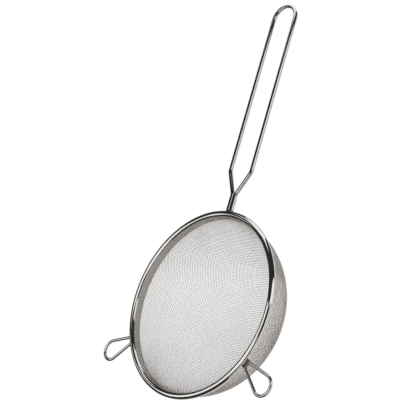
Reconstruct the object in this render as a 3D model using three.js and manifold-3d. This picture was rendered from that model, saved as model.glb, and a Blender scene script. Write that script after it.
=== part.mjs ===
// Kitchen sieve: a woven wire bowl held in a rolled rim band, with a bent wire handle
// and two wire rest ears welded to the rim.
// Millimetres. The origin is the centre of the rim, in the middle plane of its rolled bead.
// +Z points out of the bowl's mouth and +X runs along the handle.
import * as THREE from "three";
import { mergeVertices } from "three/addons/utils/BufferGeometryUtils.js";
import Module from "manifold-3d";

const { degToRad } = THREE.MathUtils;

// Rim: a sheet strip whose lower edge is a skirt inside the bowl and whose upper edge is rolled outwards
const RIM_DIAMETER = 180; // over the outside of the bead
const BEAD_DIAMETER = 6;
const RIM_SHEET = 0.5;
const SKIRT_LENGTH = 3.5; // below the underside of the bead
const REST_LAND = 1; // width of the narrow flat along the top of the bead
const SEAM_AZIMUTH = degToRad(-9); // where the strip's two ends meet, counted from the handle
const SEAM_GAP = 0.4;
const SEAM_SPOT_LENGTH = 3.2;
const SEAM_SPOT_HEIGHT = 2.4;
const SEAM_SPOT_THICKNESS = 0.7;

// Bowl: woven cloth pressed into half an ellipsoid, with a straight collar held in the rim
const MESH_WIRE = 0.35;
const MESH_PITCH = 1.66; // from one wire of the cloth to the next
const NET_SCALE = 12; // the solid is a net of flat bars, this many times coarser than the cloth
const BOWL_DEPTH = 69; // from the bead's middle plane to the lowest point outside
const COLLAR_RISE = 0.5; // how far the cloth reaches above the bead's middle plane

// Handle: one wire bent into a long loop, its two ends side by side at the rim
const HANDLE_WIRE = 4;
const HANDLE_LENGTH = 211; // from the outside of the rim to the end of the loop
const HANDLE_WIDTH = 27.9; // between the centres of the two legs
const HANDLE_RISE = degToRad(2);
const HANDLE_DROP = 1.7; // of the wire's centre below the bead's middle plane, at the rim
const NECK_LENGTH = 17.5; // where the two ends run side by side
const FLARE_LENGTH = 21.8; // along the handle, from the neck to the straight legs
const NECK_BEND = 9;
const SHOULDER_BEND = 11;

// Ears: teardrop loops that hold the sieve up on the edge of a pot
const EAR_WIRE = 3;
const EAR_REACH = 39.9; // from the outside of the rim to the end of the ear
const EAR_BEND = 9.4; // radius of the round end, at the wire's centre
const EAR_FOOT_SPACING = 4.4; // between the centres of the two ends
const EAR_DROP = 3; // of the wire's centre below the bead's middle plane
const EAR_AZIMUTH = degToRad(120); // to each side, counted from the handle

// Welds and fits
const CLEARANCE = 0.3;
const FOOT_TUCK = 2; // how far the wire ends reach in from the outside of the rim
const WELD_WALL = 1.1;
const WELD_LENGTH = 1.4; // along the wire, past the outside of the rim

// Fineness of the round faces
const RIM_FACETS = 72;
const COLLAR_RINGS = 2;
const SKIRT_RINGS = 2;
const WIRE_SIDES = 10;
const CORE_SIDES = 8;
const ROLL_STEP = degToRad(20);
const BEND_STEP = degToRad(17);
const WELD_ARC_POINTS = 5;
const SPOT_FACETS = 12;
const MERGE_DISTANCE = 1e-4;

// Sizes that follow from the ones above
const rimRadius = RIM_DIAMETER / 2;
const beadRadius = BEAD_DIAMETER / 2;
const beadCentre = rimRadius - beadRadius;
const skirtInner = rimRadius - BEAD_DIAMETER;
const skirtOuter = skirtInner + RIM_SHEET;
const clothThickness = 2 * MESH_WIRE;
const clothInner = skirtOuter + CLEARANCE;
const clothOuter = clothInner + clothThickness;
const bowlDrop = BOWL_DEPTH - beadRadius; // below the underside of the bead
const netPitch = NET_SCALE * MESH_PITCH;
const netBar = NET_SCALE * MESH_WIRE;
const rollOuterWall = rimRadius - RIM_SHEET;
const coreRadius = (rollOuterWall - clothOuter) / 2 - CLEARANCE;
const coreCentre = (rollOuterWall + clothOuter) / 2;

const polishedSteel = { color: 0xd6d5d2, roughness: 0.16, metalness: 1 };
const drawnSteel = { color: 0xcfceca, roughness: 0.2, metalness: 1 };
const wovenSteel = { color: 0xc4c3c1, roughness: 0.36, metalness: 1 };
const weldedSteel = { color: 0x8d8984, roughness: 0.5, metalness: 1 };

const wasm = await Module();
wasm.setup();

// A closed geometry as a solid that can be cut.
function toSolid(geometry) {
  const bare = geometry.clone();
  bare.deleteAttribute("normal");
  bare.deleteAttribute("uv");
  const merged = mergeVertices(bare, MERGE_DISTANCE);
  const vertProperties = merged.getAttribute("position").array;
  const triVerts = new Uint32Array(merged.index.array);
  return new wasm.Manifold(new wasm.Mesh({ numProp: 3, vertProperties, triVerts }));
}

function toGeometry(solid) {
  const { vertProperties, triVerts } = solid.getMesh();
  const geometry = new THREE.BufferGeometry();
  geometry.setAttribute("position", new THREE.BufferAttribute(vertProperties, 3));
  geometry.setIndex(new THREE.BufferAttribute(triVerts, 1));
  const flat = geometry.toNonIndexed();
  flat.computeVertexNormals();
  return flat;
}

function cut(geometry, cutter) {
  return toGeometry(toSolid(geometry).subtract(toSolid(cutter)));
}

function piece(name, geometry, finish) {
  const mesh = new THREE.Mesh(geometry, new THREE.MeshStandardMaterial(finish));
  mesh.name = name;
  return mesh;
}

// A profile of [radius, height] points turned about the Z axis.
function turned(profile) {
  const points = profile.map(([radius, height]) => new THREE.Vector2(radius, height));
  return new THREE.LatheGeometry(points, RIM_FACETS).rotateX(Math.PI / 2);
}

// Points of an arc in a profile, both ends included.
function arcPoints(centreRadius, centreHeight, radius, from, to, steps) {
  return Array.from({ length: steps + 1 }, (_, i) => {
    const angle = from + ((to - from) * i) / steps;
    return [centreRadius + radius * Math.cos(angle), centreHeight + radius * Math.sin(angle)];
  });
}

function stepsFor(turn, step) {
  return Math.max(1, Math.ceil(Math.abs(turn) / step));
}

// A wire's centre line in its own XY plane, made of straight runs and bends laid end to end.
// A straight run is one step and a bend is several.
class BentWire extends THREE.Curve {
  constructor(runs) {
    super();
    this.stretches = runs.flatMap(({ curve, steps }) =>
      Array.from({ length: steps }, (_, i) => ({ curve, from: i / steps, to: (i + 1) / steps })),
    );
  }

  getPoint(t) {
    const along = t * this.stretches.length;
    const index = Math.min(Math.floor(along), this.stretches.length - 1);
    const { curve, from, to } = this.stretches[index];
    const { x, y } = curve.getPoint(from + (to - from) * (along - index));
    return new THREE.Vector3(x, y, 0);
  }

  // Steps are counted along the stretches, not by length.
  getUtoTmapping(u) {
    return u;
  }
}

function straight(from, to) {
  return { curve: new THREE.LineCurve(from, to), steps: 1 };
}

function bend(centre, radius, from, to) {
  const curve = new THREE.EllipseCurve(centre.x, centre.y, radius, radius, from, to, to < from);
  return { curve, steps: stepsFor(to - from, BEND_STEP) };
}

// A wire of round section along a route, with a flat of its facets facing up and one down.
function wire(route, diameter) {
  const corners = Array.from({ length: WIRE_SIDES }, (_, i) => {
    const angle = ((i + 0.5) * 2 * Math.PI) / WIRE_SIDES;
    return new THREE.Vector2(Math.cos(angle), Math.sin(angle)).multiplyScalar(diameter / 2);
  });
  const options = { steps: route.stretches.length, extrudePath: route, bevelEnabled: false };
  return new THREE.ExtrudeGeometry(new THREE.Shape(corners), options);
}

// A face of the skirt, from the underside of the bead down: it lies along the inside of the cloth.
function skirtFace(inset) {
  return Array.from({ length: SKIRT_RINGS + 1 }, (_, i) => {
    const below = (SKIRT_LENGTH * i) / SKIRT_RINGS;
    const share = below / (bowlDrop - clothThickness);
    const clothRadius = clothInner * Math.sqrt(1 - share * share);
    return [clothRadius - CLEARANCE - inset, -beadRadius - below];
  });
}

// The strip's section: up the skirt's inner face, round the roll to its lip, and back along the other face.
function rimBand() {
  const landAngle = Math.asin(REST_LAND / BEAD_DIAMETER);
  const lipAngle = -Math.acos((clothOuter + CLEARANCE - beadCentre) / beadRadius);
  const landStart = Math.PI / 2 + landAngle;
  const landEnd = Math.PI / 2 - landAngle;
  const roll = (radius) => [
    ...arcPoints(beadCentre, 0, radius, Math.PI, landStart, stepsFor(Math.PI - landStart, ROLL_STEP)),
    ...arcPoints(beadCentre, 0, radius, landEnd, lipAngle, stepsFor(landEnd - lipAngle, ROLL_STEP)),
  ];
  const skirtFront = skirtFace(RIM_SHEET);
  const front = [...skirtFront.toReversed(), ...roll(beadRadius)];
  const back = [...roll(beadRadius - RIM_SHEET).reverse(), ...skirtFace(0)];
  const band = turned([...front, ...back, skirtFront.at(-1)].reverse());
  const slitHeight = 2 * (BEAD_DIAMETER + SKIRT_LENGTH);
  const slit = new THREE.BoxGeometry(2 * BEAD_DIAMETER, SEAM_GAP, slitHeight);
  slit.translate(beadCentre, 0, 0).rotateZ(SEAM_AZIMUTH);
  return piece("rim_band", cut(band, slit), polishedSteel);
}

// The small weld across the strip's seam, on the inner face below the bead's shoulder.
function rimSeamWeld() {
  const spot = new THREE.SphereGeometry(0.5, SPOT_FACETS, SPOT_FACETS / 2);
  spot.scale(SEAM_SPOT_THICKNESS, SEAM_SPOT_LENGTH, SEAM_SPOT_HEIGHT);
  const weld = piece("rim_seam_weld", spot, weldedSteel);
  const radius = skirtInner - CLEARANCE - SEAM_SPOT_THICKNESS / 2;
  const height = -SEAM_SPOT_HEIGHT / 2;
  weld.position.set(radius * Math.cos(SEAM_AZIMUTH), radius * Math.sin(SEAM_AZIMUTH), height);
  weld.rotation.z = SEAM_AZIMUTH;
  return weld;
}

// The hoop that the strip's edge is rolled round.
function rimCoreWire() {
  const section = arcPoints(coreCentre, 0, coreRadius, 0, 2 * Math.PI, CORE_SIDES);
  return piece("rim_core_wire", turned(section), drawnSteel);
}

// The bowl's curve as [radius, height], up to the underside of the bead, from a depth below it.
function bowlCurve(inset, depth) {
  const drop = bowlDrop - inset;
  const start = -Math.asin(Math.min(1, depth / drop));
  return new THREE.EllipseCurve(0, -beadRadius, clothOuter - inset, drop, start, 0);
}

// Carries a place on the flat cloth onto the bowl, from its lowest point up, and moves it outwards.
function clothWrap() {
  const curve = bowlCurve(MESH_WIRE, bowlDrop);
  const curveLength = curve.getLength();
  return (across, along, outwards) => {
    const distance = Math.hypot(across, along);
    const share = Math.min(1, distance / curveLength);
    const middle = curve.getPointAt(share);
    const ahead = curve.getTangentAt(share);
    const radius = middle.x + outwards * ahead.y;
    const height = middle.y - outwards * ahead.x + Math.max(0, distance - curveLength);
    const azimuth = Math.atan2(along, across);
    return [radius * Math.cos(azimuth), radius * Math.sin(azimuth), height];
  };
}

// The net of flat bars: a grid of lines along the bars' edges, closed where a bar runs and open
// between bars, as one sheet with an inner and an outer face.
function barNet() {
  const count = Math.ceil(bowlCurve(0, bowlDrop).getLength() / netPitch);
  const lines = [];
  for (let i = -count; i <= count; i++) {
    lines.push(i * netPitch - netBar / 2, i * netPitch + netBar / 2);
  }
  const wrapped = clothWrap();
  const positions = lines.flatMap((across) =>
    lines.flatMap((along) => [...wrapped(across, along, -MESH_WIRE), ...wrapped(across, along, MESH_WIRE)]),
  );
  const inner = (i, j) => 2 * (i * lines.length + j);
  const outer = (i, j) => inner(i, j) + 1;
  const last = lines.length - 1;
  const isBar = (i, j) => {
    const onSheet = i >= 0 && j >= 0 && i < last && j < last;
    return onSheet && (i % 2 === 0 || j % 2 === 0);
  };
  const faces = [];
  const quad = (a, b, c, d) => faces.push(a, b, c, a, c, d);
  const wall = (a, b) => quad(inner(...a), outer(...a), outer(...b), inner(...b));
  for (let i = 0; i < last; i++) {
    for (let j = 0; j < last; j++) {
      if (!isBar(i, j)) continue;
      quad(inner(i, j), inner(i + 1, j), inner(i + 1, j + 1), inner(i, j + 1));
      quad(outer(i, j), outer(i, j + 1), outer(i + 1, j + 1), outer(i + 1, j));
      if (!isBar(i, j - 1)) wall([i, j], [i + 1, j]);
      if (!isBar(i, j + 1)) wall([i + 1, j + 1], [i, j + 1]);
      if (!isBar(i - 1, j)) wall([i, j + 1], [i, j]);
      if (!isBar(i + 1, j)) wall([i + 1, j], [i + 1, j + 1]);
    }
  }
  const geometry = new THREE.BufferGeometry();
  geometry.setAttribute("position", new THREE.Float32BufferAttribute(positions, 3));
  geometry.setIndex(faces);
  return geometry;
}

// The net, cut off below the skirt and joined to the closed collar that the rim holds.
function meshBowl() {
  const collarDepth = SKIRT_LENGTH + netBar;
  const face = (inset) => {
    const points = bowlCurve(inset, collarDepth).getPoints(COLLAR_RINGS).map(({ x, y }) => [x, y]);
    return [...points, [clothOuter - inset, COLLAR_RISE]];
  };
  const outside = face(0);
  const collar = turned([...outside, ...face(clothThickness).reverse(), outside[0]]);
  const below = new THREE.BoxGeometry(RIM_DIAMETER, RIM_DIAMETER, BOWL_DEPTH);
  below.translate(0, 0, -beadRadius - SKIRT_LENGTH - netBar / 2 - BOWL_DEPTH / 2);
  const net = toSolid(barNet()).intersect(toSolid(below));
  return piece("mesh_bowl", toGeometry(toSolid(collar).add(net)), wovenSteel);
}

// The bead with its clearance, in the frame of a group that stands on the rim.
function beadSpace(holder) {
  const steps = stepsFor(2 * Math.PI, ROLL_STEP);
  const section = arcPoints(beadCentre, 0, beadRadius + CLEARANCE, 0, 2 * Math.PI, steps);
  holder.updateMatrix();
  return turned(section).applyMatrix4(holder.matrix.clone().invert());
}

// The weld round two wire ends: a ring with round ends, cut to the bead.
function footWeld(name, spacing, wireDiameter, holder) {
  const fitRadius = wireDiameter / 2 + CLEARANCE;
  const outline = (radius) => {
    const halfTurn = (centre, from) =>
      Array.from({ length: WELD_ARC_POINTS + 1 }, (_, i) => {
        const angle = from + (Math.PI * i) / WELD_ARC_POINTS;
        return new THREE.Vector2(centre + radius * Math.cos(angle), radius * Math.sin(angle));
      });
    return [...halfTurn(spacing / 2, -Math.PI / 2), ...halfTurn(-spacing / 2, Math.PI / 2)];
  };
  const section = new THREE.Shape(outline(fitRadius + WELD_WALL));
  section.holes.push(new THREE.Path(outline(fitRadius)));
  const depth = FOOT_TUCK + WELD_LENGTH;
  const ring = new THREE.ExtrudeGeometry(section, { depth, bevelEnabled: false });
  ring.rotateX(Math.PI / 2).rotateZ(Math.PI / 2).translate(-FOOT_TUCK, 0, 0);
  return piece(name, cut(ring, beadSpace(holder)), weldedSteel);
}

function handle() {
  const holder = new THREE.Group();
  holder.position.set(rimRadius, 0, -HANDLE_DROP);
  holder.rotation.y = -HANDLE_RISE;

  const footSpacing = HANDLE_WIRE + CLEARANCE;
  const legY = HANDLE_WIDTH / 2;
  const flare = Math.atan2(legY - footSpacing / 2, FLARE_LENGTH);
  const neckSetback = NECK_BEND * Math.tan(flare / 2);
  const shoulderSetback = SHOULDER_BEND * Math.tan(flare / 2);
  const shoulderX = NECK_LENGTH + FLARE_LENGTH;
  const endX = HANDLE_LENGTH - HANDLE_WIRE / 2 - legY;
  const side = (sign) => {
    const at = (x, y) => new THREE.Vector2(x, sign * y);
    const neckCentre = at(NECK_LENGTH - neckSetback, footSpacing / 2 + NECK_BEND);
    const shoulderCentre = at(shoulderX + shoulderSetback, legY - SHOULDER_BEND);
    const neck = bend(neckCentre, NECK_BEND, (-sign * Math.PI) / 2, sign * (flare - Math.PI / 2));
    const shoulder = bend(
      shoulderCentre,
      SHOULDER_BEND,
      sign * (Math.PI / 2 + flare),
      (sign * Math.PI) / 2,
    );
    return [
      straight(at(-FOOT_TUCK, footSpacing / 2), neck.curve.getPoint(0)),
      neck,
      straight(neck.curve.getPoint(1), shoulder.curve.getPoint(0)),
      shoulder,
      straight(shoulder.curve.getPoint(1), at(endX, legY)),
    ];
  };
  const loop = bend(new THREE.Vector2(endX, 0), legY, Math.PI / 2, -Math.PI / 2);
  const route = new BentWire([...side(1), loop, ...side(-1).reverse().map(reversed)]);
  const body = cut(wire(route, HANDLE_WIRE), beadSpace(holder));
  holder.add(piece("handle_wire", body, drawnSteel));
  holder.add(footWeld("handle_weld", footSpacing, HANDLE_WIRE, holder));
  return holder;
}

// The same run of a wire, followed from its other end.
function reversed({ curve, steps }) {
  if (curve.isLineCurve) return { curve: new THREE.LineCurve(curve.v2, curve.v1), steps };
  const { aX, aY, xRadius, yRadius, aStartAngle, aEndAngle, aClockwise } = curve;
  const back = new THREE.EllipseCurve(aX, aY, xRadius, yRadius, aEndAngle, aStartAngle, !aClockwise);
  return { curve: back, steps };
}

function ear(side, sign) {
  const holder = new THREE.Group();
  const azimuth = sign * EAR_AZIMUTH;
  holder.position.set(rimRadius * Math.cos(azimuth), rimRadius * Math.sin(azimuth), -EAR_DROP);
  holder.rotation.z = azimuth;

  const footY = EAR_FOOT_SPACING / 2;
  const endX = EAR_REACH - EAR_WIRE / 2 - EAR_BEND;
  const run = endX + FOOT_TUCK;
  const spread = Math.asin(EAR_BEND / Math.hypot(run, footY)) - Math.atan2(footY, run);
  const end = bend(new THREE.Vector2(endX, 0), EAR_BEND, Math.PI / 2 + spread, -Math.PI / 2 - spread);
  // Each leg is one run in the weld and one beyond it.
  const leg = (bendPoint) => {
    const foot = new THREE.Vector2(-FOOT_TUCK, Math.sign(bendPoint.y) * footY);
    const share = (WELD_LENGTH + CLEARANCE - foot.x) / (bendPoint.x - foot.x);
    const pastWeld = foot.clone().lerp(bendPoint, share);
    return [straight(foot, pastWeld), straight(pastWeld, bendPoint)];
  };
  const first = leg(end.curve.getPoint(0));
  const last = leg(end.curve.getPoint(1));
  const route = new BentWire([...first, end, ...last.reverse().map(reversed)]);
  const body = cut(wire(route, EAR_WIRE), beadSpace(holder));
  holder.add(piece(`${side}_ear`, body, drawnSteel));
  const weldSpacing = EAR_FOOT_SPACING + 2 * (FOOT_TUCK + WELD_LENGTH) * Math.tan(spread);
  holder.add(footWeld(`${side}_ear_weld`, weldSpacing, EAR_WIRE, holder));
  return holder;
}

const sieve = new THREE.Group();
sieve.add(meshBowl(), rimBand(), rimCoreWire(), rimSeamWeld());
sieve.add(handle(), ear("left", 1), ear("right", -1));

export default sieve;
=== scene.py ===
"""Kitchen sieve: woven wire bowl in a rolled rim, with a wire loop handle and two wire ears."""
import math

import bpy
import numpy as np
from bpy.props import FloatProperty, FloatVectorProperty, PointerProperty
from mathutils import Matrix, Vector


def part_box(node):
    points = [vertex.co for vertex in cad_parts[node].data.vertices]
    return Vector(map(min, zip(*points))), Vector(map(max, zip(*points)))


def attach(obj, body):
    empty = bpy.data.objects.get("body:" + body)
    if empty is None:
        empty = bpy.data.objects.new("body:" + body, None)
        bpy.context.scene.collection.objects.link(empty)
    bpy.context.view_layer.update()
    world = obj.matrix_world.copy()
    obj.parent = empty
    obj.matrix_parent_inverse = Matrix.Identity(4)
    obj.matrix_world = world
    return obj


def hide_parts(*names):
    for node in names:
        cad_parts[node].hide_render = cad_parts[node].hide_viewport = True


bl_info = {
    "name": "Kitchen sieve",
    "version": (1, 0, 0),
    "blender": (4, 5, 0),
    "location": "View3D > Sidebar > Sieve",
    "description": "Builds a round kitchen sieve of woven wire, rolled sheet and bent wire",
    "category": "Add Mesh",
}

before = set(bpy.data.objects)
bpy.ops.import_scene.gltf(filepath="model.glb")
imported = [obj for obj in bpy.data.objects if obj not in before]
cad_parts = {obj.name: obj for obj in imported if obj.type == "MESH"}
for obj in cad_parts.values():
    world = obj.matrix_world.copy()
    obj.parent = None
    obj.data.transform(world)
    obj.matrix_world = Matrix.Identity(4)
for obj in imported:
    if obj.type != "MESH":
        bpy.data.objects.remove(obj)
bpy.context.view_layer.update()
RIM_LOW, RIM_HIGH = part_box("rim_band")
BOWL_LOW, BOWL_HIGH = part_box("mesh_bowl")
SEAM_LOW, SEAM_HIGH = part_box("rim_seam_weld")

MM = 0.001

# How finely the pieces are made
RIM_STEPS = 288
ROLL_STEP = math.radians(7.5)
SKIRT_STEPS = 6
BEND_STEP = math.radians(3.0)
LONGEST_RUN = 6 * MM
WIRE_SIDES = 28
CLOTH_SIDES = 6
WELD_STEPS = 48
WELD_RINGS = 12
SPOT_STEPS = 28
SPOT_RINGS = 8
CREASE = math.radians(40.0)

# The cloth's net: points of the bowl's profile, rounds of solving, wires to spare past the edge,
# fewest crossings of a wire that is kept, and how flat a crossing may get before the net ends there
PROFILE_POINTS = 2000
NET_ROUNDS = 10
SPARE_WIRES = 2
FEWEST_CROSSINGS = 3
FLATTEST_CROSSING = 0.02

# Welds: how they thin out along the wires, their skin at the thin end, how sharply they part over the
# two wires, their broad and small lumps, how the small ones turn and twist, and each weld's own turn
WELD_TAPER = 1.6
WELD_SKIN = 0.03 * MM
WELD_PARTING = 4
BROAD_LUMPS = 0.22
BROAD_COUNT = 3
SMALL_LUMPS = 0.16
SMALL_COUNT = 7
SMALL_TURN = 2.3
SMALL_TWIST = 4
HANDLE_WELD_TURN = 0.4
EAR_WELD_TURN = 1.7

# Seam weld: half its length, its thickness, how far its edge is sunk, its roundness and its uneven edge
SPOT_HALF_LENGTH = 1.6 * MM
SPOT_THICKNESS = 0.75 * MM
SPOT_SINK = 0.05 * MM
SPOT_ROUNDNESS = 2.4
SPOT_BROAD_WAVE = 0.07
SPOT_BROAD_COUNT = 3
SPOT_BROAD_TURN = 1.0
SPOT_SMALL_WAVE = 0.05
SPOT_SMALL_COUNT = 5

# Noise: the range that most of its values lie in, and its detail
NOISE_LOW = 0.3
NOISE_HIGH = 0.7
NOISE_DETAIL = 4.0

# Fine lines of each metal: their scale, their stretch along the axes and their relief
CLOTH_LINES = (900.0, (1, 1, 1), 0.05)
SHEET_LINES = (700.0, (1, 1, 6), 0.04)
HOOP_LINES = (500.0, (1, 1, 4), 0.1)
HANDLE_LINES = (1500.0, (0.03, 1, 1), 0.05)
EAR_LINES = (900.0, (1, 1, 1), 0.05)
SEAM_LINES = (1200.0, (1, 1, 1), 0.3)
LINE_DEPTH = 0.02 * MM

# Clouds in a metal's tone: how much coarser than its lines, and how strong
CLOUD_SIZE = 12
CLOUD_STRENGTH = 0.06
CLOTH_CLOUDS = 0.12

# Lowest and highest roughness of a surface, as shares of its usual one
METAL_POLISH = (0.7, 1.4)
WELD_POLISH = (0.6, 1.3)

# Roughness of the hoop inside the rim and of the weld on its seam
HOOP_ROUGHNESS = 0.3
SEAM_ROUGHNESS = 0.22

# Half the breadth over which the rim's own tone gives way to a painted shade inside the bowl
SHADE_FADE = 0.1 * MM

# Weld metal: scale of its oxide patches and of its pits, and the pits' strength and depth
PATCH_SCALE = 420.0
PIT_SCALE = 2400.0
PIT_RELIEF = 0.6
PIT_DEPTH = 0.15 * MM

# Image width in pixels, sensor width in millimetres, and the camera's nearest and farthest distance
IMAGE_WIDTH = 400
SENSOR_WIDTH = 36.0
CLIP_NEAR = 0.05
CLIP_FAR = 20.0

# How steeply down a direction points where the white ground is full, and where it ends
GROUND_FULL = -0.5
GROUND_END = -0.38
WHITE = (1, 1, 1, 1)

# Share of the floor's colour that takes light and shadow where the camera or the metal sees it
SHADOW_SHARE = 0.25

# Soft lamps: name, place, point that the lamp faces, width and height
SOFT_LAMPS = (
    ("lamp_over", (-0.005, 0.05, 0.4), (-0.005, 0.05, 0.0), (0.19, 0.42)),
    ("lamp_back", (-0.05, 0.53, 0.4), (-0.05, 0.53, 0.0), (0.1, 0.36)),
    ("lamp_left", (-0.26, 0.095, 0.4), (-0.26, 0.095, 0.0), (0.32, 0.91)),
    ("lamp_side", (-0.44, -0.5, -0.02), (-0.44, 0.0, -0.02), (1.32, 0.2)),
    ("lamp_handle", (0.305, -0.5, 0.18), (0.305, 0.0, 0.18), (0.29, 0.75)),
    ("lamp_end", (0.4, 0.05, 0.13), (0.0, 0.05, 0.13), (0.22, 0.46)),
    ("lamp_far", (0.75, 0.6, 0.75), (0.0, 0.0, 0.0), (0.42, 0.32)),
)


# Settings


def length(name, description, default):
    """A length in metres that a user may change."""
    return FloatProperty(
        name=name, description=description, default=default, unit="LENGTH", precision=5
    )


def angle(name, description, degrees):
    """An angle that a user may change, given in degrees."""
    return FloatProperty(
        name=name, description=description, default=math.radians(degrees), subtype="ANGLE"
    )


def share(name, description, default):
    """A number from 0 to 1 that a user may change."""
    return FloatProperty(
        name=name, description=description, default=default, min=0, max=1, subtype="FACTOR"
    )


def colour(name, description, default):
    """A linear colour that a user may change."""
    return FloatVectorProperty(
        name=name, description=description, default=default, min=0, max=1, size=3, subtype="COLOR"
    )


def vector(name, description, default, subtype):
    """A place or a direction that a user may change."""
    return FloatVectorProperty(
        name=name, description=description, default=default, size=3, subtype=subtype
    )


class SieveSizes(bpy.types.PropertyGroup):
    """Sizes of the sieve's pieces."""

    rim_radius: length("Rim radius", "Centre of the rim to the outside of its bead", RIM_HIGH[0])
    bead_radius: length("Bead radius", "Radius of the rolled bead's section", 3.0 * MM)
    # Painted shade: inside this breadth from the rim's outside, the rim band's tone turns darker
    shade_inset: length("Shade inset", "Breadth of the rim's own tone from its outside, inside which shade is painted", 5.95 * MM)
    rim_sheet: length("Rim sheet", "Thickness of the rim's strip", 0.5 * MM)
    skirt_low: length("Skirt edge", "Height of the skirt's lower edge", RIM_LOW[2])
    seam_azimuth: angle("Seam", "Where the strip's ends meet, counted from the handle", -9.0)
    seam_gap: length("Seam gap", "Width of the line between the strip's ends", 0.12 * MM)
    bowl_low: length("Bowl bottom", "Height of the bowl's lowest point", BOWL_LOW[2])
    bowl_top: length("Cloth edge", "Height of the cloth's upper edge", BOWL_HIGH[2])
    cloth_wire: length("Cloth wire", "Diameter of the cloth's wire", 0.35 * MM)
    cloth_pitch: length("Cloth pitch", "Distance from one wire of the cloth to the next", 1.66 * MM)
    cloth_skew: angle("Cloth skew", "Turn of each set of wires away from the handle's axis", 2.0)
    handle_wire: length("Handle wire", "Diameter of the handle's wire", 4.0 * MM)
    handle_length: length("Handle length", "Outside of the rim to the loop's end", 211.0 * MM)
    handle_width: length("Handle width", "Between the centres of the handle's legs", 27.9 * MM)
    handle_rise: angle("Handle rise", "Slope of the handle away from the rim", 2.0)
    handle_drop: length("Handle drop", "Wire's centre below the bead's middle at the rim", 1.7 * MM)
    neck_length: length("Neck length", "Where the handle's two ends run side by side", 17.5 * MM)
    flare_length: length("Flare length", "From the neck to the straight legs", 21.8 * MM)
    neck_bend: length("Neck bend", "Bend radius at the neck", 9.0 * MM)
    shoulder_bend: length("Shoulder bend", "Bend radius at the start of the legs", 11.0 * MM)
    ear_wire: length("Ear wire", "Diameter of the ears' wire", 3.0 * MM)
    ear_reach: length("Ear reach", "Outside of the rim to the ear's end", 39.9 * MM)
    ear_bend: length("Ear bend", "Radius of the ear's round end", 9.4 * MM)
    ear_foot: length("Ear foot", "Between the centres of an ear's two ends", 4.4 * MM)
    ear_drop: length("Ear drop", "Ear's wire below the bead's middle", 3.0 * MM)
    ear_azimuth: angle("Ear place", "Each ear's place, counted from the handle", 120.0)
    clearance: length("Clearance", "Gap between pieces that touch", 0.3 * MM)
    foot_tuck: length("Foot tuck", "How far wire ends reach in from the rim's outside", 2.0 * MM)
    weld_length: length("Weld length", "Reach of a weld along its wires", 1.2 * MM)
    weld_flare: length("Weld flare", "Reach of a weld along the rim", 0.6 * MM)


class SieveFinish(bpy.types.PropertyGroup):
    """Colours and polish of the sieve's metal."""

    sheet_colour: colour("Polished sheet", "Rim band", (0.53, 0.516, 0.497))
    # Painted shade: a darker tone for the rim's inner skirt, standing in for the darker reflection it
    # shows inside the bowl
    skirt_shade_colour: colour("Painted skirt shade", "Inner skirt of the rim band", (0.39, 0.365, 0.34))
    wire_colour: colour("Drawn wire", "Handle, ears, hoop and seam weld", (0.42, 0.415, 0.407))
    cloth_colour: colour("Woven wire", "Wires of the cloth", (0.45, 0.413, 0.39))
    weld_colour: colour("Weld metal", "Bare metal of the welds", (0.2, 0.19, 0.18))
    weld_tint: colour("Heat tint", "Dark oxide on the welds", (0.045, 0.04, 0.038))
    sheet_roughness: share("Sheet roughness", "Polish of the rim band", 0.06)
    wire_roughness: share("Wire roughness", "Polish of handle and ears", 0.06)
    cloth_roughness: share("Cloth roughness", "Polish of the cloth's wires", 0.2)
    weld_roughness: share("Weld roughness", "Polish of the welds", 0.42)


class SieveStage(bpy.types.PropertyGroup):
    """Floor, light and camera."""

    floor_colour: colour("Floor", "Colour of the floor", (0.86, 0.86, 0.86))
    floor_glow: share("Floor glow", "White that the camera and the metal see in the floor", 0.9)
    table_radius: length("Table", "Radius of the round white table top", 0.12)
    room_light: FloatProperty(
        name="Room", description="Light from the dim sides of the room", default=0.04, min=0
    )
    lamp_light: FloatProperty(
        name="Soft lamps",
        description="Power of the soft lamps for each square metre",
        default=4.8,
        min=0,
        unit="POWER",
    )
    camera_place: vector("Camera", "Camera's place", (-0.1376, -0.8121, 0.7351), "TRANSLATION")
    camera_right: vector(
        "Image right", "Direction of the image's right side", (0.2991, -0.6682, -0.6812), "DIRECTION"
    )
    camera_up: vector(
        "Image up", "Direction of the image's upper side", (0.9319, 0.0511, 0.3590), "DIRECTION"
    )
    focal_pixels: FloatProperty(
        name="Focal length", description="Focal length in image pixels", default=1204.0
    )


# Node materials


def node(tree, kind, **values):
    """A new node with its input sockets or settings set."""
    made = tree.nodes.new(kind)
    for key, value in values.items():
        socket = key.replace("_", " ").title()
        if socket in made.inputs:
            made.inputs[socket].default_value = value
        else:
            setattr(made, key, value)
    return made


def blank_material(name):
    """A material with a metal shader, and its tree and shader."""
    material = bpy.data.materials.new(name)
    material.use_nodes = True
    shader = material.node_tree.nodes["Principled BSDF"]
    shader.inputs["Metallic"].default_value = 1.0
    return material, material.node_tree, shader


def spread(tree, source, low, high):
    """A number that runs from low to high as source runs through its middle range."""
    ranged = node(
        tree, "ShaderNodeMapRange", from_min=NOISE_LOW, from_max=NOISE_HIGH, to_min=low, to_max=high
    )
    tree.links.new(source, ranged.inputs["Value"])
    return ranged.outputs["Result"]


def two_tones(tree, source, dark, light):
    """A colour that runs between two tones."""
    ramp = node(tree, "ShaderNodeValToRGB")
    first, last = ramp.color_ramp.elements
    first.position = NOISE_LOW
    last.position = NOISE_HIGH
    first.color = (*dark, 1)
    last.color = (*light, 1)
    tree.links.new(source, ramp.inputs["Fac"])
    return ramp.outputs["Color"]


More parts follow.
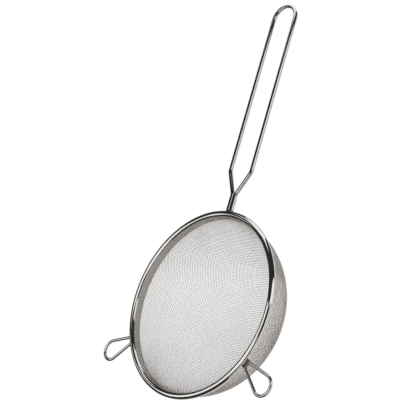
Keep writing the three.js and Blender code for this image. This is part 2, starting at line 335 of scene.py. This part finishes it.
def grain(tree, scale, stretch=(1, 1, 1)):
    """Noise in the object's own space, drawn out along an axis where stretch is small."""
    place = node(tree, "ShaderNodeTexCoord")
    mapping = node(tree, "ShaderNodeMapping", scale=stretch)
    noise = node(tree, "ShaderNodeTexNoise", scale=scale, detail=NOISE_DETAIL)
    tree.links.new(place.outputs["Object"], mapping.inputs["Vector"])
    tree.links.new(mapping.outputs["Vector"], noise.inputs["Vector"])
    return noise.outputs["Fac"]


def scaled(tone, factor):
    """A tone made darker or lighter."""
    return tuple(min(1.0, part * factor) for part in tone)


def add_relief(tree, shader, height, strength, depth):
    """Let a pattern stand out of the surface."""
    bump = node(tree, "ShaderNodeBump", strength=strength, distance=depth)
    tree.links.new(height, bump.inputs["Height"])
    tree.links.new(bump.outputs["Normal"], shader.inputs["Normal"])


def metal(name, tone, roughness, fine_lines, clouds=CLOUD_STRENGTH):
    """Bright metal: cloudy tone, uneven polish and a faint relief of drawing or rolling lines."""
    material, tree, shader = blank_material(name)
    scale, stretch, relief = fine_lines
    cloud = grain(tree, scale / CLOUD_SIZE)
    lines = grain(tree, scale, stretch)
    tones = two_tones(tree, cloud, scaled(tone, 1 - clouds), scaled(tone, 1 + clouds))
    tree.links.new(tones, shader.inputs["Base Color"])
    polish = spread(tree, lines, roughness * METAL_POLISH[0], roughness * METAL_POLISH[1])
    tree.links.new(polish, shader.inputs["Roughness"])
    add_relief(tree, shader, lines, relief, LINE_DEPTH)
    return material


def paint_shade_inside(material, radius, tone):
    """Paint shade on a turned metal: its tone fades to a darker one inside a radius."""
    tree = material.node_tree
    base = tree.nodes["Principled BSDF"].inputs["Base Color"]
    polished = base.links[0].from_socket
    place = node(tree, "ShaderNodeTexCoord")
    level = node(tree, "ShaderNodeVectorMath", operation="MULTIPLY")
    level.inputs[1].default_value = (1, 1, 0)
    across = node(tree, "ShaderNodeVectorMath", operation="LENGTH")
    fade = node(tree, "ShaderNodeMapRange", from_min=radius - SHADE_FADE, from_max=radius + SHADE_FADE)
    mix = node(tree, "ShaderNodeMixRGB", color1=(*tone, 1))
    tree.links.new(place.outputs["Object"], level.inputs[0])
    tree.links.new(level.outputs["Vector"], across.inputs[0])
    tree.links.new(across.outputs["Value"], fade.inputs["Value"])
    tree.links.new(fade.outputs["Result"], mix.inputs["Fac"])
    tree.links.new(polished, mix.inputs["Color2"])
    tree.links.new(mix.outputs["Color"], base)


def weld_metal(name, tone, tint, roughness):
    """Lumpy weld metal with dark oxide in patches."""
    material, tree, shader = blank_material(name)
    patches = grain(tree, PATCH_SCALE)
    pits = grain(tree, PIT_SCALE)
    tree.links.new(two_tones(tree, patches, tint, tone), shader.inputs["Base Color"])
    polish = spread(tree, pits, roughness * WELD_POLISH[0], roughness * WELD_POLISH[1])
    tree.links.new(polish, shader.inputs["Roughness"])
    add_relief(tree, shader, pits, PIT_RELIEF, PIT_DEPTH)
    return material


# Meshes


def new_piece(name, points, faces, material, crease=CREASE):
    """A smooth-shaded mesh object that rides on the sieve."""
    mesh = bpy.data.meshes.new(name)
    mesh.from_pydata(points, [], faces)
    mesh.update()
    mesh.shade_smooth()
    if crease:
        mesh.set_sharp_from_angle(angle=crease)
    mesh.materials.append(material)
    piece = bpy.data.objects.new(name, mesh)
    bpy.context.scene.collection.objects.link(piece)
    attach(piece, "root")
    return piece


def ring_faces(rings, sides, start=0):
    """Quads between rings of points, one ring after the other."""
    along = np.arange(rings - 1)[:, None] * sides
    around = np.arange(sides)[None]
    beside = (around + 1) % sides
    following = along + sides
    corners = np.stack(
        [along + around, following + around, following + beside, along + beside], axis=-1
    )
    return (start + corners.reshape(-1, 4)).tolist()


def end_faces(rings, sides, start=0):
    """The two faces that close a tube's ends."""
    last = start + (rings - 1) * sides
    return [list(range(start, start + sides)), list(range(last + sides - 1, last - 1, -1))]


def unit(vectors):
    """Vectors with their length made 1."""
    return vectors / np.linalg.norm(vectors, axis=-1, keepdims=True)


def tube(centres, upward, radius, sides):
    """Rings of points round a line, with upward giving each ring's first direction."""
    ahead = unit(np.gradient(centres, axis=0))
    upward = unit(upward - ahead * (upward * ahead).sum(axis=1, keepdims=True))
    across = np.cross(ahead, upward)
    turn = (np.arange(sides) * 2 * math.pi / sides)[None, :, None]
    spokes = upward[:, None] * np.cos(turn) + across[:, None] * np.sin(turn)
    return (centres[:, None] + radius * spokes).reshape(-1, 3)


def arc(centre, radius, start, end, step):
    """Points of an arc in a plane, both ends included."""
    turns = np.linspace(start, end, max(2, math.ceil(abs(end - start) / step) + 1))
    return [(centre[0] + radius * math.cos(t), centre[1] + radius * math.sin(t)) for t in turns]


# Cloth


class BowlShape:
    """The cloth's middle surface: half an ellipsoid with a straight collar."""

    def __init__(self, sizes):
        inside_bead = sizes.rim_radius - 2 * sizes.bead_radius
        self.start = -sizes.bead_radius
        self.radius = inside_bead + sizes.rim_sheet + sizes.clearance + sizes.cloth_wire
        self.drop = self.start - sizes.bowl_low - sizes.cloth_wire
        turns = np.linspace(0, math.pi / 2, PROFILE_POINTS)
        heights = self.start - self.drop * np.cos(turns)
        self.profile = np.stack([self.radius * np.sin(turns), heights], axis=1)
        steps = np.linalg.norm(np.diff(self.profile, axis=0), axis=1)
        self.reach = np.concatenate([[0], np.cumsum(steps)])

    def along(self, azimuth, distance):
        """Points on the line that runs from the bowl's bottom to the rim at one azimuth."""
        radius = np.interp(distance, self.reach, self.profile[:, 0])
        collar = np.maximum(distance - self.reach[-1], 0)
        height = np.interp(distance, self.reach, self.profile[:, 1]) + collar
        return np.stack([radius * math.cos(azimuth), radius * math.sin(azimuth), height], axis=-1)

    def level(self, points):
        """How far points lie off the surface, and the direction away from it."""
        below = np.minimum(points[..., 2] - self.start, 0)
        flat = points[..., :2] / self.radius
        deep = below / self.drop
        value = (flat ** 2).sum(-1) + deep ** 2 - 1
        slope = np.concatenate([2 * flat / self.radius, (2 * deep / self.drop)[..., None]], axis=-1)
        return value * self.radius, slope * self.radius

    def outward(self, points):
        """The direction out of the bowl at points on it."""
        return unit(self.level(points)[1])


def next_knots(shape, first, second, behind, pitch):
    """Where wires from two crossings meet again, one pitch from each and on the bowl."""
    knots = first + second - behind
    for _ in range(NET_ROUNDS):
        value, slope = shape.level(knots)
        to_first = knots - first
        to_second = knots - second
        too_far_first = (to_first ** 2).sum(-1) / pitch - pitch
        too_far_second = (to_second ** 2).sum(-1) / pitch - pitch
        misses = np.stack([value, too_far_first, too_far_second], axis=-1)
        slopes = np.stack([slope, 2 * to_first / pitch, 2 * to_second / pitch], axis=-2)
        sound = np.isfinite(slopes).all((-1, -2))
        sound[sound] = np.abs(np.linalg.det(slopes[sound])) > FLATTEST_CROSSING
        change = np.full_like(knots, np.nan)
        change[sound] = np.linalg.solve(slopes[sound], misses[sound][..., None])[..., 0]
        knots = knots - change
    return knots


def cloth_net(sizes):
    """Crossings of a square cloth whose wires keep their spacing as it is pressed into the bowl."""
    shape = BowlShape(sizes)
    pitch = sizes.cloth_pitch
    longest = shape.reach[-1] + sizes.bowl_top - shape.start
    count = math.ceil(longest / pitch) + SPARE_WIRES
    net = np.full((2 * count + 1, 2 * count + 1, 3), np.nan)
    distances = np.arange(count + 1) * pitch
    for side_u in (1, -1):
        for side_v in (1, -1):
            along_u = -sizes.cloth_skew + (0 if side_u > 0 else math.pi)
            along_v = math.pi / 2 + sizes.cloth_skew + (0 if side_v > 0 else math.pi)
            part = np.full((count + 1, count + 1, 3), np.nan)
            part[:, 0] = shape.along(along_u, distances)
            part[0, :] = shape.along(along_v, distances)
            for total in range(2, 2 * count + 1):
                i = np.arange(max(1, total - count), min(count, total - 1) + 1)
                j = total - i
                part[i, j] = next_knots(
                    shape, part[i - 1, j], part[i, j - 1], part[i - 1, j - 1], pitch
                )
            span_u = count + side_u * np.arange(count + 1)
            span_v = count + side_v * np.arange(count + 1)
            net[np.ix_(span_u, span_v)] = part
    net[~(net[..., 2] <= sizes.bowl_top)] = np.nan
    return net, shape


def cloth_wires(name, net, shape, sizes, phase, material):
    """All the cloth's wires of one direction, each over one crossing wire and under the next."""
    points = []
    faces = []
    total = 0
    lift = sizes.cloth_wire / 2
    for row in range(net.shape[1]):
        line = net[:, row]
        inside = np.flatnonzero(np.isfinite(line).all(axis=1))
        if len(inside) < FEWEST_CROSSINGS:
            continue
        centres = line[inside]
        outward = shape.outward(centres)
        over = np.where((inside + row + phase) % 2 == 0, lift, -lift)
        ring_points = tube(centres + over[:, None] * outward, outward, lift, CLOTH_SIDES)
        points.append(ring_points)
        faces += ring_faces(len(inside), CLOTH_SIDES, total)
        faces += end_faces(len(inside), CLOTH_SIDES, total)
        total += len(ring_points)
    points = np.concatenate(points).tolist()
    piece = new_piece(name, points, faces, material, crease=0)
    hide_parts("mesh_bowl")


# Rim


def rim_section(sizes):
    """The strip's section: up the skirt, round the roll to its lip, and back inside."""
    bead = sizes.bead_radius
    centre = (sizes.rim_radius - bead, 0.0)
    shape = BowlShape(sizes)
    cloth_inside = shape.radius - sizes.cloth_wire
    drop_inside = shape.drop - sizes.cloth_wire

    def skirt(inset):
        below = np.linspace(0, -bead - sizes.skirt_low, SKIRT_STEPS + 1)
        radius = cloth_inside * np.sqrt(1 - (below / drop_inside) ** 2) - sizes.clearance - inset
        return list(zip(radius.tolist(), (-bead - below).tolist()))

    cloth_outside = shape.radius + sizes.cloth_wire + sizes.clearance
    lip = -math.acos((cloth_outside - centre[0]) / bead)
    front = skirt(sizes.rim_sheet)[::-1] + arc(centre, bead, math.pi, lip, ROLL_STEP)
    back = arc(centre, bead - sizes.rim_sheet, lip, math.pi, ROLL_STEP) + skirt(0.0)
    return front + back


def turned_strip(section, start, end, steps):
    """A closed section turned about the sieve's axis from one azimuth to another."""
    azimuths = np.linspace(start, end, steps + 1)
    section = np.array(section)
    radius, height = section[:, 0], section[:, 1]
    rings = np.stack(
        [
            np.cos(azimuths)[:, None] * radius,
            np.sin(azimuths)[:, None] * radius,
            np.broadcast_to(height, (len(azimuths), len(height))),
        ],
        axis=-1,
    )
    sides = len(section)
    faces = ring_faces(len(azimuths), sides) + end_faces(len(azimuths), sides)
    return rings.reshape(-1, 3).tolist(), faces


# Bent wire


def handle_route(sizes):
    """The handle's centre line in its own plane, from one foot round the loop to the other."""
    quarter = math.pi / 2
    foot = (sizes.handle_wire + sizes.clearance) / 2
    leg = sizes.handle_width / 2
    neck = sizes.neck_bend
    shoulder = sizes.shoulder_bend
    flare = math.atan2(leg - foot, sizes.flare_length)
    neck_x = sizes.neck_length - neck * math.tan(flare / 2)
    shoulder_x = sizes.neck_length + sizes.flare_length + shoulder * math.tan(flare / 2)
    end_x = sizes.handle_length - sizes.handle_wire / 2 - leg
    half = [(-sizes.foot_tuck, foot)]
    half += arc((neck_x, foot + neck), neck, -quarter, flare - quarter, BEND_STEP)
    half += arc((shoulder_x, leg - shoulder), shoulder, quarter + flare, quarter, BEND_STEP)
    half += arc((end_x, 0.0), leg, quarter, 0.0, BEND_STEP)
    return half + [(x, -y) for x, y in half[-2::-1]]


def ear_spread(sizes):
    """The place of an ear's round end and the slope of its legs."""
    end_x = sizes.ear_reach - sizes.ear_wire / 2 - sizes.ear_bend
    run = end_x + sizes.foot_tuck
    foot = sizes.ear_foot / 2
    return end_x, math.asin(sizes.ear_bend / math.hypot(run, foot)) - math.atan2(foot, run)


def ear_route(sizes):
    """An ear's centre line in its own plane, from one foot round the end to the other."""
    end_x, slope = ear_spread(sizes)
    foot = (-sizes.foot_tuck, sizes.ear_foot / 2)
    turn = math.pi / 2 + slope
    bend = arc((end_x, 0.0), sizes.ear_bend, turn, -turn, BEND_STEP)
    return [foot] + bend + [(foot[0], -foot[1])]


def with_runs_divided(route, longest):
    """The route with its long straight runs cut into shorter ones."""
    points = [route[0]]
    for before, after in zip(route, route[1:]):
        cuts = max(1, math.ceil(math.dist(before, after) / longest))
        for k in range(1, cuts + 1):
            points.append(tuple(a + (b - a) * k / cuts for a, b in zip(before, after)))
    return points


def placed(points, place):
    """Points moved from a piece's own plane to the sieve."""
    turn = np.array(place.to_3x3())
    return np.asarray(points) @ turn.T + np.array(place.translation)


def bent_wire(name, route, diameter, place, material, node_name):
    """A round wire along a flat route."""
    flat = np.array([(x, y, 0.0) for x, y in with_runs_divided(route, LONGEST_RUN)])
    upward = np.broadcast_to((0.0, 0.0, 1.0), flat.shape)
    points = placed(tube(flat, upward, diameter / 2, WIRE_SIDES), place)
    faces = ring_faces(len(flat), WIRE_SIDES) + end_faces(len(flat), WIRE_SIDES)
    piece = new_piece(name, points.tolist(), faces, material)
    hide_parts(node_name)


def handle_place(sizes):
    """Where the handle's plane lies on the sieve."""
    tilt = Matrix.Rotation(-sizes.handle_rise, 4, "Y")
    return Matrix.Translation((sizes.rim_radius, 0, -sizes.handle_drop)) @ tilt


def ear_place(sizes, sign):
    """Where an ear's plane lies on the sieve, with sign 1 for the left one."""
    turn = Matrix.Rotation(sign * sizes.ear_azimuth, 4, "Z")
    return turn @ Matrix.Translation((sizes.rim_radius, 0, -sizes.ear_drop))


# Welds


def foot_weld(name, spacing, slope, diameter, place, sizes, material, turn, node_name):
    """Weld metal round two wire ends: wide on the rim and thin along the wires, with uneven beads."""
    reach = np.linspace(-sizes.foot_tuck, sizes.weld_length, WELD_RINGS)
    around = np.arange(WELD_STEPS) * 2 * math.pi / WELD_STEPS
    aside = np.cos(around)
    points = []
    for x in reach:
        part = (x - reach[0]) / (reach[-1] - reach[0])
        apart = spacing / 2 + (x + sizes.foot_tuck) * math.tan(slope)
        swell = sizes.weld_flare * (1 - part) ** WELD_TAPER + WELD_SKIN
        broad = BROAD_LUMPS * np.sin(BROAD_COUNT * around + turn)
        small = SMALL_LUMPS * np.sin(SMALL_COUNT * around + SMALL_TURN * turn + SMALL_TWIST * part)
        radius = diameter / 2 + swell * (1 + broad + small)
        shift = apart * np.sign(aside) * np.minimum(1, np.abs(aside) * WELD_PARTING)
        y = shift + radius * aside
        z = radius * np.sin(around)
        points += [(x, across, up) for across, up in zip(y, z)]
    faces = ring_faces(WELD_RINGS, WELD_STEPS) + end_faces(WELD_RINGS, WELD_STEPS)
    piece = new_piece(name, placed(points, place).tolist(), faces, material)
    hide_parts(node_name)


def seam_spot(name, sizes, material):
    """A flat drop of weld metal on the inner face of the rim, across its seam."""
    middle = (Vector(SEAM_LOW) + Vector(SEAM_HIGH)) / 2
    half_height = (SEAM_HIGH[2] - SEAM_LOW[2]) / 2
    inner = sizes.rim_radius - 2 * sizes.bead_radius
    turn = Matrix.Rotation(sizes.seam_azimuth, 4, "Z")
    around = np.arange(SPOT_STEPS) * 2 * math.pi / SPOT_STEPS
    broad = SPOT_BROAD_WAVE * np.sin(SPOT_BROAD_COUNT * around + SPOT_BROAD_TURN)
    small = SPOT_SMALL_WAVE * np.sin(SPOT_SMALL_COUNT * around)
    points = [(inner - SPOT_THICKNESS, 0.0, middle.z)]
    for ring in range(1, SPOT_RINGS + 1):
        out = ring / SPOT_RINGS
        edge = out * (1 + broad + small)
        x = inner + SPOT_SINK - SPOT_THICKNESS * (1 - out ** SPOT_ROUNDNESS)
        points += [
            (x, SPOT_HALF_LENGTH * e * math.cos(a), middle.z + half_height * e * math.sin(a))
            for a, e in zip(around, edge)
        ]
    last = 1 + (SPOT_RINGS - 1) * SPOT_STEPS
    faces = [[0, 1 + (step + 1) % SPOT_STEPS, 1 + step] for step in range(SPOT_STEPS)]
    faces += [face[::-1] for face in ring_faces(SPOT_RINGS, SPOT_STEPS, 1)]
    faces.append(list(range(last, last + SPOT_STEPS)))
    piece = new_piece(name, placed(points, turn).tolist(), faces, material)
    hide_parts("rim_seam_weld")


# Stage


def seen_directly(tree):
    """1 for what the camera sees itself, in metal or through glass."""
    path = node(tree, "ShaderNodeLightPath")
    result = path.outputs["Is Camera Ray"]
    for kind in ("Is Glossy Ray", "Is Transmission Ray"):
        either = node(tree, "ShaderNodeMath", operation="MAXIMUM")
        tree.links.new(result, either.inputs[0])
        tree.links.new(path.outputs[kind], either.inputs[1])
        result = either.outputs[0]
    return result


def floor_material(settings):
    """A pale floor that the camera and the metal see as white, with the sieve's shadow on it."""
    material = bpy.data.materials.new("pale_floor")
    material.use_nodes = True
    tree = material.node_tree
    tree.nodes.clear()
    output = node(tree, "ShaderNodeOutputMaterial")
    plain = node(tree, "ShaderNodeBsdfDiffuse", color=(*settings.floor_colour, 1))
    shaded = scaled(settings.floor_colour, SHADOW_SHARE)
    shade = node(tree, "ShaderNodeBsdfDiffuse", color=(*shaded, 1))
    glow = node(tree, "ShaderNodeEmission", strength=settings.floor_glow)
    seen = node(tree, "ShaderNodeAddShader")
    mix = node(tree, "ShaderNodeMixShader")
    tree.links.new(shade.outputs[0], seen.inputs[0])
    tree.links.new(glow.outputs[0], seen.inputs[1])
    tree.links.new(seen_directly(tree), mix.inputs[0])
    tree.links.new(plain.outputs[0], mix.inputs[1])
    tree.links.new(seen.outputs[0], mix.inputs[2])
    tree.links.new(mix.outputs[0], output.inputs["Surface"])
    return material


def light_room(scene, settings):
    """A white ground that camera and metal see alike, in a dim room that is white to the camera."""
    world = bpy.data.worlds.new("studio")
    world.use_nodes = True
    scene.world = world
    tree = world.node_tree
    tree.nodes.clear()
    output = node(tree, "ShaderNodeOutputWorld")
    white = node(tree, "ShaderNodeBackground", strength=1.0, color=WHITE)
    room = node(tree, "ShaderNodeBackground", strength=settings.room_light, color=WHITE)
    place = node(tree, "ShaderNodeTexCoord")
    parts = node(tree, "ShaderNodeSeparateXYZ")
    ground = node(
        tree, "ShaderNodeMapRange", from_min=GROUND_FULL, from_max=GROUND_END, to_min=1.0, to_max=0.0
    )
    path = node(tree, "ShaderNodeLightPath")
    seen = node(tree, "ShaderNodeMath", operation="MAXIMUM")
    mix = node(tree, "ShaderNodeMixShader")
    tree.links.new(place.outputs["Generated"], parts.inputs[0])
    tree.links.new(parts.outputs["Z"], ground.inputs["Value"])
    tree.links.new(path.outputs["Is Camera Ray"], seen.inputs[0])
    tree.links.new(ground.outputs["Result"], seen.inputs[1])
    tree.links.new(seen.outputs[0], mix.inputs[0])
    tree.links.new(room.outputs[0], mix.inputs[1])
    tree.links.new(white.outputs[0], mix.inputs[2])
    tree.links.new(mix.outputs[0], output.inputs["Surface"])


def soft_lamp(name, place, aim, size, power):
    """A wide soft lamp that faces a point."""
    data = bpy.data.lights.new(name, "AREA")
    data.shape = "RECTANGLE"
    data.size, data.size_y = size
    data.energy = power
    lamp = bpy.data.objects.new(name, data)
    lamp.location = place
    lamp.rotation_mode = "QUATERNION"
    lamp.rotation_quaternion = (Vector(aim) - Vector(place)).to_track_quat("-Z", "Y")
    lamp.visible_camera = False
    bpy.context.scene.collection.objects.link(lamp)


def lay_table(settings, height):
    """A round white table top, which isn't part of the sieve."""
    edge = arc((0.0, 0.0), settings.table_radius, 0.0, 2 * math.pi, BEND_STEP)[:-1]
    mesh = bpy.data.meshes.new("floor")
    mesh.from_pydata([(x, y, height) for x, y in edge], [], [range(len(edge))])
    mesh.materials.append(floor_material(settings))
    sheet = bpy.data.objects.new("floor", mesh)
    bpy.context.scene.collection.objects.link(sheet)


def place_camera(scene, settings):
    """The camera where the photograph was taken from, turned the same way."""
    data = bpy.data.cameras.new("camera")
    data.sensor_width = SENSOR_WIDTH
    data.lens = settings.focal_pixels * SENSOR_WIDTH / IMAGE_WIDTH
    data.clip_start = CLIP_NEAR
    data.clip_end = CLIP_FAR
    camera = bpy.data.objects.new("camera", data)
    right = Vector(settings.camera_right).normalized()
    back = right.cross(Vector(settings.camera_up)).normalized()
    up = back.cross(right)
    turn = Matrix((right, up, back)).transposed().to_4x4()
    camera.matrix_world = Matrix.Translation(settings.camera_place) @ turn
    scene.collection.objects.link(camera)
    scene.camera = camera


# Operators


class SIEVE_OT_cloth(bpy.types.Operator):
    """Weave the bowl's wire cloth"""

    bl_idname = "sieve.cloth"
    bl_label = "Wire cloth"

    def execute(self, context):
        sizes = context.scene.sieve_sizes
        finish = context.scene.sieve_finish
        net, shape = cloth_net(sizes)
        woven = metal(
            "woven_wire", finish.cloth_colour, finish.cloth_roughness, CLOTH_LINES, CLOTH_CLOUDS
        )
        cloth_wires("cloth_along", net, shape, sizes, 0, woven)
        cloth_wires("cloth_across", net.transpose(1, 0, 2), shape, sizes, 1, woven)
        return {"FINISHED"}


class SIEVE_OT_rim(bpy.types.Operator):
    """Roll the rim band and finish the hoop inside it"""

    bl_idname = "sieve.rim"
    bl_label = "Rim"

    def execute(self, context):
        sizes = context.scene.sieve_sizes
        finish = context.scene.sieve_finish
        sheet = metal("polished_sheet", finish.sheet_colour, finish.sheet_roughness, SHEET_LINES)
        # Painted shade: the rim band turns darker inside the bead, where its skirt faces into the bowl
        paint_shade_inside(sheet, sizes.rim_radius - sizes.shade_inset, finish.skirt_shade_colour)
        half_gap = sizes.seam_gap / 2 / sizes.rim_radius
        start = sizes.seam_azimuth + half_gap
        end = sizes.seam_azimuth + 2 * math.pi - half_gap
        points, faces = turned_strip(rim_section(sizes), start, end, RIM_STEPS)
        band = new_piece("rim_strip", points, faces, sheet)
        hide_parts("rim_band")
        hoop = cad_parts["rim_core_wire"]
        hoop.data.materials.clear()
        hoop.data.materials.append(metal("hoop_wire", finish.wire_colour, HOOP_ROUGHNESS, HOOP_LINES))
        return {"FINISHED"}


class SIEVE_OT_handle(bpy.types.Operator):
    """Bend the handle's wire"""

    bl_idname = "sieve.handle"
    bl_label = "Handle"

    def execute(self, context):
        sizes = context.scene.sieve_sizes
        finish = context.scene.sieve_finish
        drawn = metal("drawn_handle", finish.wire_colour, finish.wire_roughness, HANDLE_LINES)
        route = handle_route(sizes)
        bent_wire("handle_loop", route, sizes.handle_wire, handle_place(sizes), drawn, "handle_wire")
        return {"FINISHED"}


class SIEVE_OT_ears(bpy.types.Operator):
    """Bend the two ears"""

    bl_idname = "sieve.ears"
    bl_label = "Ears"

    def execute(self, context):
        sizes = context.scene.sieve_sizes
        finish = context.scene.sieve_finish
        drawn = metal("drawn_ear", finish.wire_colour, finish.wire_roughness, EAR_LINES)
        route = ear_route(sizes)
        for side, sign in (("left", 1), ("right", -1)):
            place = ear_place(sizes, sign)
            bent_wire(f"ear_{side}", route, sizes.ear_wire, place, drawn, f"{side}_ear")
        return {"FINISHED"}


class SIEVE_OT_welds(bpy.types.Operator):
    """Weld the wire ends and the rim's seam"""

    bl_idname = "sieve.welds"
    bl_label = "Welds"

    def execute(self, context):
        sizes = context.scene.sieve_sizes
        finish = context.scene.sieve_finish
        dark = weld_metal("weld_metal", finish.weld_colour, finish.weld_tint, finish.weld_roughness)
        bright = metal("seam_metal", finish.wire_colour, SEAM_ROUGHNESS, SEAM_LINES)
        spacing = sizes.handle_wire + sizes.clearance
        foot_weld(
            "weld_handle", spacing, 0.0, sizes.handle_wire, handle_place(sizes), sizes, dark,
            HANDLE_WELD_TURN, "handle_weld",
        )
        slope = ear_spread(sizes)[1]
        for side, sign in (("left", 1), ("right", -1)):
            foot_weld(
                f"weld_ear_{side}", sizes.ear_foot, slope, sizes.ear_wire, ear_place(sizes, sign), sizes,
                dark, EAR_WELD_TURN * sign, f"{side}_ear_weld",
            )
        seam_spot("weld_seam", sizes, bright)
        return {"FINISHED"}


class SIEVE_OT_stage(bpy.types.Operator):
    """Lay the table and set up light and camera"""

    bl_idname = "sieve.stage"
    bl_label = "Stage"

    def execute(self, context):
        scene = context.scene
        settings = scene.sieve_stage
        lay_table(settings, scene.sieve_sizes.bowl_low)
        light_room(scene, settings)
        for name, place, aim, size in SOFT_LAMPS:
            soft_lamp(name, place, aim, size, settings.lamp_light * size[0] * size[1])
        place_camera(scene, settings)
        scene.view_settings.view_transform = "Standard"
        return {"FINISHED"}


class SIEVE_PT_panel(bpy.types.Panel):
    """The sieve's pieces and settings"""

    bl_label = "Sieve"
    bl_idname = "SIEVE_PT_panel"
    bl_space_type = "VIEW_3D"
    bl_region_type = "UI"
    bl_category = "Sieve"

    def draw(self, context):
        layout = self.layout
        for operator in OPERATORS:
            layout.operator(operator.bl_idname)
        for name, group in GROUPS:
            box = layout.box()
            for setting in group.__annotations__:
                box.prop(getattr(context.scene, name), setting)


GROUPS = (
    ("sieve_sizes", SieveSizes),
    ("sieve_finish", SieveFinish),
    ("sieve_stage", SieveStage),
)
OPERATORS = (
    SIEVE_OT_cloth,
    SIEVE_OT_rim,
    SIEVE_OT_handle,
    SIEVE_OT_ears,
    SIEVE_OT_welds,
    SIEVE_OT_stage,
)


def register():
    for name, group in GROUPS:
        bpy.utils.register_class(group)
        setattr(bpy.types.Scene, name, PointerProperty(type=group))
    for cls in (*OPERATORS, SIEVE_PT_panel):
        bpy.utils.register_class(cls)


def unregister():
    for cls in (SIEVE_PT_panel, *reversed(OPERATORS)):
        bpy.utils.unregister_class(cls)
    for name, group in reversed(GROUPS):
        delattr(bpy.types.Scene, name)
        bpy.utils.unregister_class(group)


def main():
    register()
    bpy.ops.sieve.cloth()
    bpy.ops.sieve.rim()
    bpy.ops.sieve.handle()
    bpy.ops.sieve.ears()
    bpy.ops.sieve.welds()
    bpy.ops.sieve.stage()


if __name__ == "__main__":
    main()
